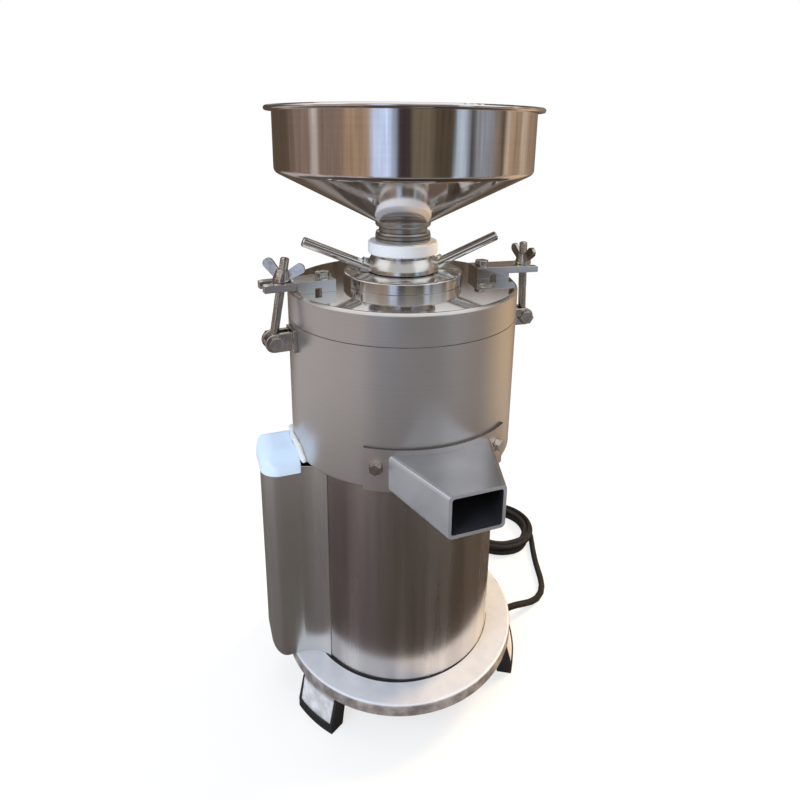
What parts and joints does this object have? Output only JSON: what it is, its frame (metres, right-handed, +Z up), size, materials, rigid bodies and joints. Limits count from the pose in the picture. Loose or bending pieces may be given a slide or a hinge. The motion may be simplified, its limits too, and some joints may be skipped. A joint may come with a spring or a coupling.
{
  "type": "stone colloid mill",
  "caption": "Upright wet-grinding colloid mill: steel hopper over an adjustable stone chamber, swing-bolt lid clamps, open spout, motor housing with side box, cast base on rubber shoes.",
  "frame": {"origin": "on the floor, on the motor's axis, in the middle between the rubber feet", "axes": "+Z up along the motor's axis, -Y along the spout, -X towards the side box"},
  "size_m": [0.4158, 0.4154, 0.6157],
  "materials": {
    "cast_aluminium": "rough cast, machined on its top edge",
    "foot_rubber": "matt black",
    "seal_rubber": "matt black",
    "shell_steel": "brushed round the axis",
    "cap_plastic": "moulded, half gloss",
    "seal_plastic": "soft white",
    "capacitor_case": "matt black",
    "chamber_steel": "satin, brushed round the axis",
    "spout_metal": "satin with polished edges",
    "polished_steel": "turned and polished",
    "hopper_steel": "mirror polished sheet",
    "zinc_steel": "bright zinc",
    "machined_steel": "machined",
    "laminated_iron": "varnished laminations",
    "winding_copper": "varnished copper wire",
    "fan_plastic": "matt black",
    "grindstone": "rough, bonded grit",
    "nylon": "turned white",
    "cord_sheath": "half-matt black",
    "plug_plastic": "half-matt black",
    "plug_brass": "bright"
  },
  "bodies": {
    "housing": {"base_casting": "cast_aluminium", "lower_end_bell": "cast_aluminium", "upper_end_bell": "cast_aluminium", "rubber_feet": "foot_rubber", "spout_gasket": "seal_rubber", "lid_gasket": "seal_rubber", "shaft_seal": "seal_rubber", "motor_shell": "shell_steel", "side_box": "shell_steel", "box_cap": "cap_plastic", "cap_seal": "seal_plastic", "start_capacitor": "capacitor_case", "grinding_chamber": "chamber_steel", "spout": "spout_metal", "lid": "polished_steel", "lid_boss": "polished_steel", "clamp_fork_left": "polished_steel", "clamp_fork_right": "polished_steel", "spout_bolts": "zinc_steel", "boss_screws": "zinc_steel", "fork_screws": "zinc_steel", "hinge_bracket_left": "zinc_steel", "hinge_bracket_right": "zinc_steel", "hinge_pin_left": "zinc_steel", "hinge_pin_right": "zinc_steel", "lower_bearing": "machined_steel", "upper_bearing": "machined_steel", "stator_core": "laminated_iron", "stator_winding": "winding_copper", "strain_relief": "cord_sheath", "power_cord": "cord_sheath", "plug_lead": "cord_sheath", "cord_coil": "cord_sheath", "cord_tie": "cord_sheath", "plug_body": "plug_plastic", "plug_pins": "plug_brass"},
    "rotor": {"motor_shaft": "machined_steel", "rotor_core": "laminated_iron", "cooling_fan": "fan_plastic", "stone_carrier": "machined_steel", "lower_stone": "grindstone", "stone_nut": "machined_steel"},
    "adjuster": {"adjuster_hub": "polished_steel", "handle_left": "polished_steel", "handle_right": "polished_steel"},
    "feed": {"feed_tube": "polished_steel", "upper_stone_carrier": "machined_steel", "upper_stone": "grindstone", "nylon_collar": "nylon"},
    "hopper_unit": {"hopper": "hopper_steel", "hopper_neck": "hopper_steel"},
    "bolt_left": {"swing_bolt_left": "zinc_steel"},
    "bolt_right": {"swing_bolt_right": "zinc_steel"},
    "nut_left": {"wing_nut_left": "zinc_steel"},
    "nut_right": {"wing_nut_right": "zinc_steel"}
  },
  "joints": [
    {"name": "rotor_spin", "type": "hinge", "parent": "housing", "child": "rotor", "pos_m": [0, 0, 0.3], "axis": [0, 0, 1], "continuous": true},
    {"name": "gap_adjust", "type": "hinge", "parent": "housing", "child": "adjuster", "pos_m": [0, 0, 0.468], "axis": [0, 0, 1], "range_deg": [0, 360]},
    {"name": "stone_lift", "type": "slide", "parent": "housing", "child": "feed", "axis": [0, 0, 1], "range_m": [0, 0.003]},
    {"name": "hopper_lift", "type": "slide", "parent": "feed", "child": "hopper_unit", "axis": [0, 0, 1], "range_m": [0, 0.05]},
    {"name": "clamp_swing_left", "type": "hinge", "parent": "housing", "child": "bolt_left", "pos_m": [-0.13376, -0.01406, 0.4035], "axis": [0.1045, -0.9945, 0], "range_deg": [0, 165]},
    {"name": "wing_nut_turn_left", "type": "hinge", "parent": "bolt_left", "child": "nut_left", "pos_m": [-0.13376, -0.01406, 0.4035], "axis": [0.1812, 0.019, 0.9833], "continuous": true},
    {"name": "clamp_swing_right", "type": "hinge", "parent": "housing", "child": "bolt_right", "pos_m": [0.13376, -0.01406, 0.4035], "axis": [0.1045, 0.9945, 0], "range_deg": [0, 165]},
    {"name": "wing_nut_turn_right", "type": "hinge", "parent": "bolt_right", "child": "nut_right", "pos_m": [0.13376, -0.01406, 0.4035], "axis": [-0.0451, 0.0047, 0.999], "continuous": true}
  ],
  "couplings": [
    {"joint": "stone_lift", "follows": "gap_adjust", "m_per_rad": 0.00047746}
  ]
}
